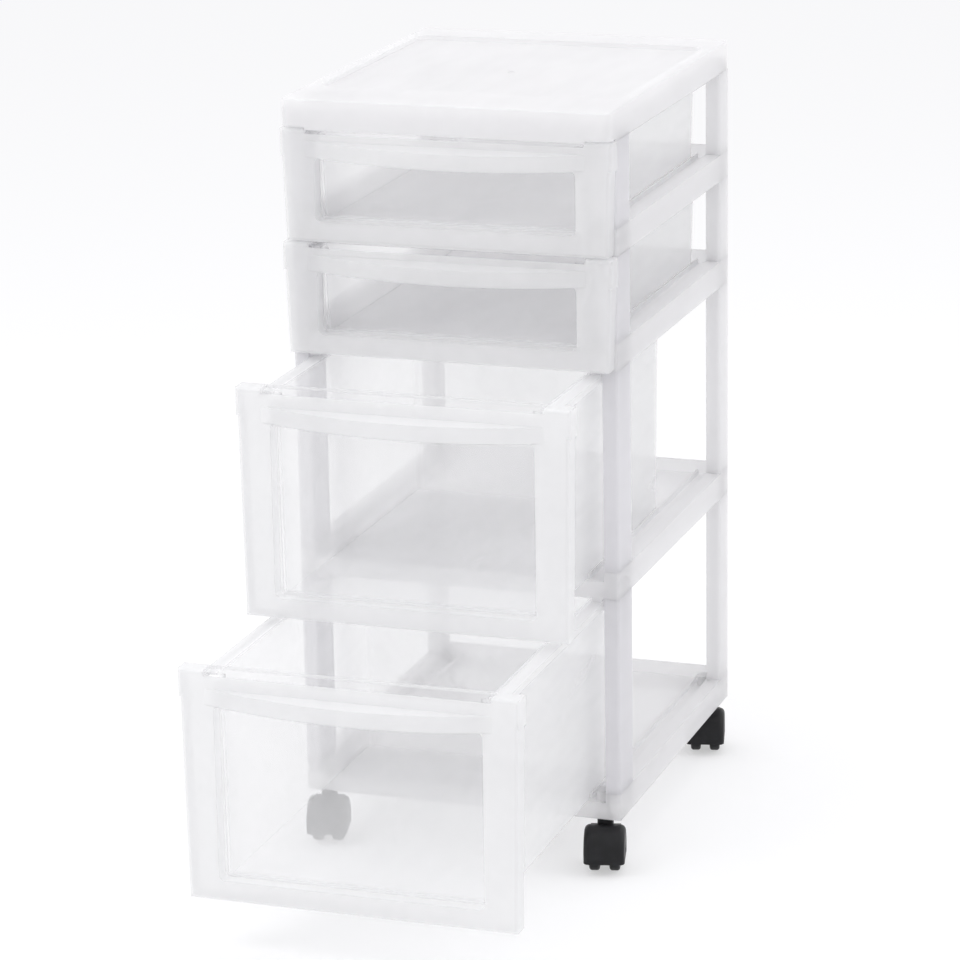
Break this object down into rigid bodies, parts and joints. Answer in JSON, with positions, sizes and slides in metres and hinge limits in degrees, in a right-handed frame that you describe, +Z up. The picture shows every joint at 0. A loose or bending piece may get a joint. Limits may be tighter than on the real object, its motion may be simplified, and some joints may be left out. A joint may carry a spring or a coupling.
{
  "type": "drawer tower",
  "caption": "Frosted plastic drawer tower on swivel casters, with shallow drawers above deeper drawers that slide on open shelves, and a recessed top to put things on.",
  "frame": {"origin": "on the floor, at the middle of the whole tower's plan as it stands, with its lower drawers open as in the picture", "axes": "+X to the right seen from the front, the drawers open towards -Y, +Z up"},
  "size_m": [0.3154, 0.662, 0.704],
  "materials": {
    "frosted_frame": "frosted translucent polypropylene",
    "clear_drawer": "clear polypropylene, frosted round the window",
    "black_plastic": "satin",
    "black_tread": "satin",
    "dark_steel": "black",
    "axle_steel": "bright"
  },
  "bodies": {
    "frame": {"top_panel": "frosted_frame", "shelf_upper": "frosted_frame", "shelf_middle": "frosted_frame", "shelf_lower": "frosted_frame", "base_tray": "frosted_frame", "post_1_front_left": "frosted_frame", "post_1_front_right": "frosted_frame", "post_1_rear_left": "frosted_frame", "post_1_rear_right": "frosted_frame", "post_2_front_left": "frosted_frame", "post_2_front_right": "frosted_frame", "post_2_rear_left": "frosted_frame", "post_2_rear_right": "frosted_frame", "post_3_front_left": "frosted_frame", "post_3_front_right": "frosted_frame", "post_3_rear_left": "frosted_frame", "post_3_rear_right": "frosted_frame", "post_4_front_left": "frosted_frame", "post_4_front_right": "frosted_frame", "post_4_rear_left": "frosted_frame", "post_4_rear_right": "frosted_frame"},
    "drawer_1": {"drawer_1": "clear_drawer"},
    "drawer_2": {"drawer_2": "clear_drawer"},
    "drawer_3": {"drawer_3": "clear_drawer"},
    "drawer_4": {"drawer_4": "clear_drawer"},
    "caster_front_left": {"caster_front_left_hood": "black_plastic", "caster_front_left_stem": "dark_steel", "caster_front_left_axle": "axle_steel"},
    "caster_front_left_wheel_left": {"caster_front_left_wheel_left": "black_tread"},
    "caster_front_left_wheel_right": {"caster_front_left_wheel_right": "black_tread"},
    "caster_front_right": {"caster_front_right_hood": "black_plastic", "caster_front_right_stem": "dark_steel", "caster_front_right_axle": "axle_steel"},
    "caster_front_right_wheel_left": {"caster_front_right_wheel_left": "black_tread"},
    "caster_front_right_wheel_right": {"caster_front_right_wheel_right": "black_tread"},
    "caster_rear_left": {"caster_rear_left_hood": "black_plastic", "caster_rear_left_stem": "dark_steel", "caster_rear_left_axle": "axle_steel"},
    "caster_rear_left_wheel_left": {"caster_rear_left_wheel_left": "black_tread"},
    "caster_rear_left_wheel_right": {"caster_rear_left_wheel_right": "black_tread"},
    "caster_rear_right": {"caster_rear_right_hood": "black_plastic", "caster_rear_right_stem": "dark_steel", "caster_rear_right_axle": "axle_steel"},
    "caster_rear_right_wheel_left": {"caster_rear_right_wheel_left": "black_tread"},
    "caster_rear_right_wheel_right": {"caster_rear_right_wheel_right": "black_tread"}
  },
  "joints": [
    {"name": "drawer_1_slide", "type": "slide", "parent": "frame", "child": "drawer_1", "axis": [0, -1, 0], "range_m": [0, 0.3012]},
    {"name": "drawer_2_slide", "type": "slide", "parent": "frame", "child": "drawer_2", "axis": [0, -1, 0], "range_m": [0, 0.3012]},
    {"name": "drawer_3_slide", "type": "slide", "parent": "frame", "child": "drawer_3", "axis": [0, -1, 0], "range_m": [-0.122, 0.1792]},
    {"name": "drawer_4_slide", "type": "slide", "parent": "frame", "child": "drawer_4", "axis": [0, -1, 0], "range_m": [-0.27, 0.0312]},
    {"name": "caster_front_left_swivel", "type": "hinge", "parent": "frame", "child": "caster_front_left", "pos_m": [-0.135, -0.0225, 0.048], "axis": [0, 0, 1], "continuous": true},
    {"name": "caster_front_left_wheel_left_spin", "type": "hinge", "parent": "caster_front_left", "child": "caster_front_left_wheel_left", "pos_m": [-0.1321, -0.03414, 0.019], "axis": [0.9703, 0.2419, 0], "continuous": true},
    {"name": "caster_front_left_wheel_right_spin", "type": "hinge", "parent": "caster_front_left", "child": "caster_front_left_wheel_right", "pos_m": [-0.1321, -0.03414, 0.019], "axis": [0.9703, 0.2419, 0], "continuous": true},
    {"name": "caster_front_right_swivel", "type": "hinge", "parent": "frame", "child": "caster_front_right", "pos_m": [0.135, -0.0225, 0.048], "axis": [0, 0, 1], "continuous": true},
    {"name": "caster_front_right_wheel_left_spin", "type": "hinge", "parent": "caster_front_right", "child": "caster_front_right_wheel_left", "pos_m": [0.1379, -0.03414, 0.019], "axis": [0.9703, 0.2419, 0], "continuous": true},
    {"name": "caster_front_right_wheel_right_spin", "type": "hinge", "parent": "caster_front_right", "child": "caster_front_right_wheel_right", "pos_m": [0.1379, -0.03414, 0.019], "axis": [0.9703, 0.2419, 0], "continuous": true},
    {"name": "caster_rear_left_swivel", "type": "hinge", "parent": "frame", "child": "caster_rear_left", "pos_m": [-0.135, 0.313, 0.048], "axis": [0, 0, 1], "continuous": true},
    {"name": "caster_rear_left_wheel_left_spin", "type": "hinge", "parent": "caster_rear_left", "child": "caster_rear_left_wheel_left", "pos_m": [-0.1321, 0.30136, 0.019], "axis": [0.9703, 0.2419, 0], "continuous": true},
    {"name": "caster_rear_left_wheel_right_spin", "type": "hinge", "parent": "caster_rear_left", "child": "caster_rear_left_wheel_right", "pos_m": [-0.1321, 0.30136, 0.019], "axis": [0.9703, 0.2419, 0], "continuous": true},
    {"name": "caster_rear_right_swivel", "type": "hinge", "parent": "frame", "child": "caster_rear_right", "pos_m": [0.135, 0.313, 0.048], "axis": [0, 0, 1], "continuous": true},
    {"name": "caster_rear_right_wheel_left_spin", "type": "hinge", "parent": "caster_rear_right", "child": "caster_rear_right_wheel_left", "pos_m": [0.1379, 0.30136, 0.019], "axis": [0.9703, 0.2419, 0], "continuous": true},
    {"name": "caster_rear_right_wheel_right_spin", "type": "hinge", "parent": "caster_rear_right", "child": "caster_rear_right_wheel_right", "pos_m": [0.1379, 0.30136, 0.019], "axis": [0.9703, 0.2419, 0], "continuous": true}
  ]
}
